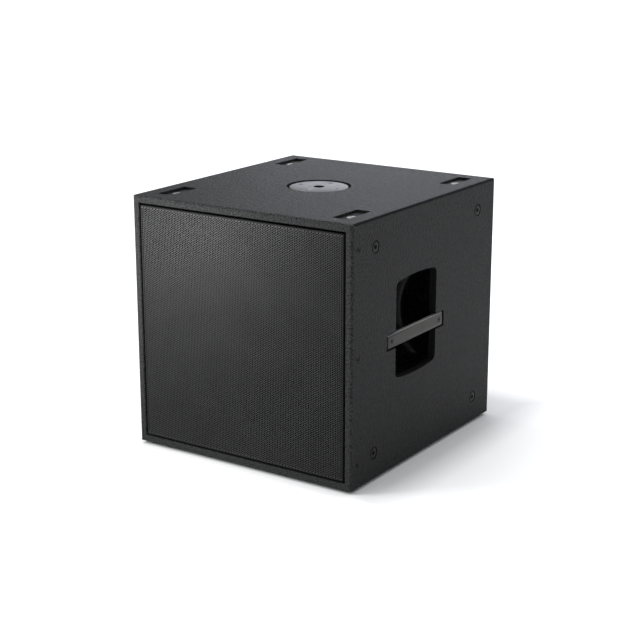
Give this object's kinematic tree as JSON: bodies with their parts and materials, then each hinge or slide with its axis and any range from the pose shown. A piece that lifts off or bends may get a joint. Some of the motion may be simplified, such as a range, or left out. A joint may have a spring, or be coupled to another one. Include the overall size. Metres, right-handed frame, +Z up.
{
  "type": "subwoofer cabinet",
  "caption": "Compact subwoofer cabinet with a sliding cone behind a steel grille, bar handles in hand cups, a threaded pole mount, rigging inserts, stacking pockets and skid feet.",
  "frame": {"origin": "on the floor under the middle of the cabinet, level with the underside of the feet", "axes": "+X to the cabinet's right as seen from the front, -Y out of the front grille, +Z up"},
  "size_m": [0.5, 0.54, 0.5065],
  "materials": {
    "textured_coating": "birch plywood with a fine orange-peel textured black coating, satin",
    "plywood": "raw birch plywood",
    "black_wood": "plywood painted matt black",
    "grille_steel": "powder-coated steel, satin black",
    "black_foam": "open-cell acoustic foam",
    "grey_wadding": "polyester wadding",
    "black_plastic": "moulded black plastic",
    "gloss_black_plastic": "smooth moulded black plastic",
    "handle_metal": "satin warm grey paint",
    "plate_metal": "satin light grey",
    "black_steel": "black oxide",
    "zinc_steel": "zinc plated",
    "black_rubber": "matt rubber",
    "basket_alloy": "die cast, painted black",
    "cone_paper": "pulp, matt black",
    "former_film": "amber glass-fibre film",
    "copper_wire": "enamelled copper",
    "spider_cloth": "resin-stiffened cloth",
    "bare_steel": "turned steel",
    "ferrite": "sintered ferrite",
    "phenolic": "brown laminate",
    "cable_jacket": "PVC jacket"
  },
  "bodies": {
    "cabinet": {"top_panel": "textured_coating", "bottom_panel": "textured_coating", "left_side_panel": "textured_coating", "right_side_panel": "textured_coating", "rear_panel": "textured_coating", "front_baffle": "black_wood", "window_brace": "plywood", "top_left_port_board": "plywood", "top_right_port_board": "plywood", "bottom_left_port_board": "plywood", "bottom_right_port_board": "plywood", "grille": "grille_steel", "grille_foam": "black_foam", "grille_screws": "black_steel", "grille_spacers": "black_rubber", "grille_nuts": "zinc_steel", "left_handle_cup": "gloss_black_plastic", "right_handle_cup": "gloss_black_plastic", "left_handle_bar": "handle_metal", "right_handle_bar": "handle_metal", "handle_bar_screws": "black_steel", "handle_bar_nuts": "zinc_steel", "handle_cup_screws": "black_steel", "pole_plate": "plate_metal", "pole_plate_screws": "black_steel", "pole_plate_nuts": "zinc_steel", "left_rigging_inserts": "black_steel", "right_rigging_inserts": "black_steel", "top_pocket_inserts": "zinc_steel", "front_left_foot": "black_rubber", "front_right_foot": "black_rubber", "rear_left_foot": "black_rubber", "rear_right_foot": "black_rubber", "foot_screws": "zinc_steel", "connector_dish": "black_plastic", "input_connector": "black_plastic", "link_connector": "black_plastic", "connector_screws": "black_steel", "dish_screws": "black_steel", "driver_basket": "basket_alloy", "driver_seal": "black_rubber", "driver_front_ring": "black_rubber", "driver_bolts": "black_steel", "driver_nuts": "zinc_steel", "driver_terminals": "phenolic", "tinsel_leads": "copper_wire", "surround": "black_rubber", "spider": "spider_cloth", "top_plate": "bare_steel", "magnet": "ferrite", "back_plate": "bare_steel", "rear_lining": "grey_wadding", "top_lining": "grey_wadding", "bottom_lining": "grey_wadding", "signal_cable": "cable_jacket"},
    "cone_assembly": {"cone": "cone_paper", "dust_cap": "cone_paper", "coil_former": "former_film", "voice_coil": "copper_wire"}
  },
  "joints": [
    {"name": "cone_excursion", "type": "slide", "parent": "cabinet", "child": "cone_assembly", "axis": [0, -1, 0], "range_m": [-0.008, 0.008], "stiffness_N_per_m": 6000, "deforming": ["surround", "spider", "tinsel_leads"]}
  ]
}
